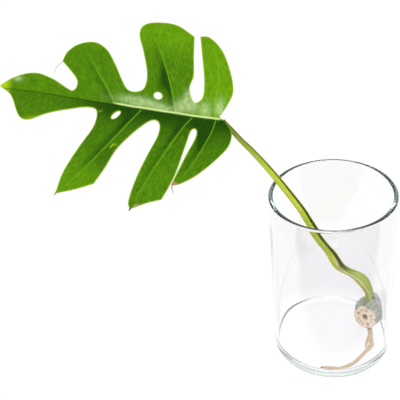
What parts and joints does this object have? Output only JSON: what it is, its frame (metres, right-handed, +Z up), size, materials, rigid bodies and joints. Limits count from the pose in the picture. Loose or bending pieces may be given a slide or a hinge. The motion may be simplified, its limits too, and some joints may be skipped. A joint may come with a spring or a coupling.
{
  "type": "mini monstera cutting in a glass vase",
  "caption": "Split-leaf climber cutting leaning in a clear straight-sided glass: a lobed leaf on a channelled stalk, with a cut stem node and a dry aerial root on the glass's floor.",
  "frame": {"origin": "centre of the glass's flat underside, on the surface that it stands on", "axes": "+Z up, -X towards the side where the leaf hangs out over the rim, -Y towards the side that the leaf's upper face looks to"},
  "size_m": [0.2364, 0.0915, 0.2274],
  "materials": {
    "clear_glass": "polished",
    "leaf_green": "glossy waxy leaf",
    "stalk_green": "smooth satin stalk",
    "stem_skin": "matte grey-green skin, pale cut face",
    "dry_sheath": "dry papery",
    "root_bark": "dry corky"
  },
  "bodies": {
    "root": {"glass_vase": "clear_glass", "leaf_blade": "leaf_green", "petiole": "stalk_green", "stem_section": "stem_skin", "dry_collar": "dry_sheath", "aerial_root": "root_bark"}
  },
  "joints": []
}
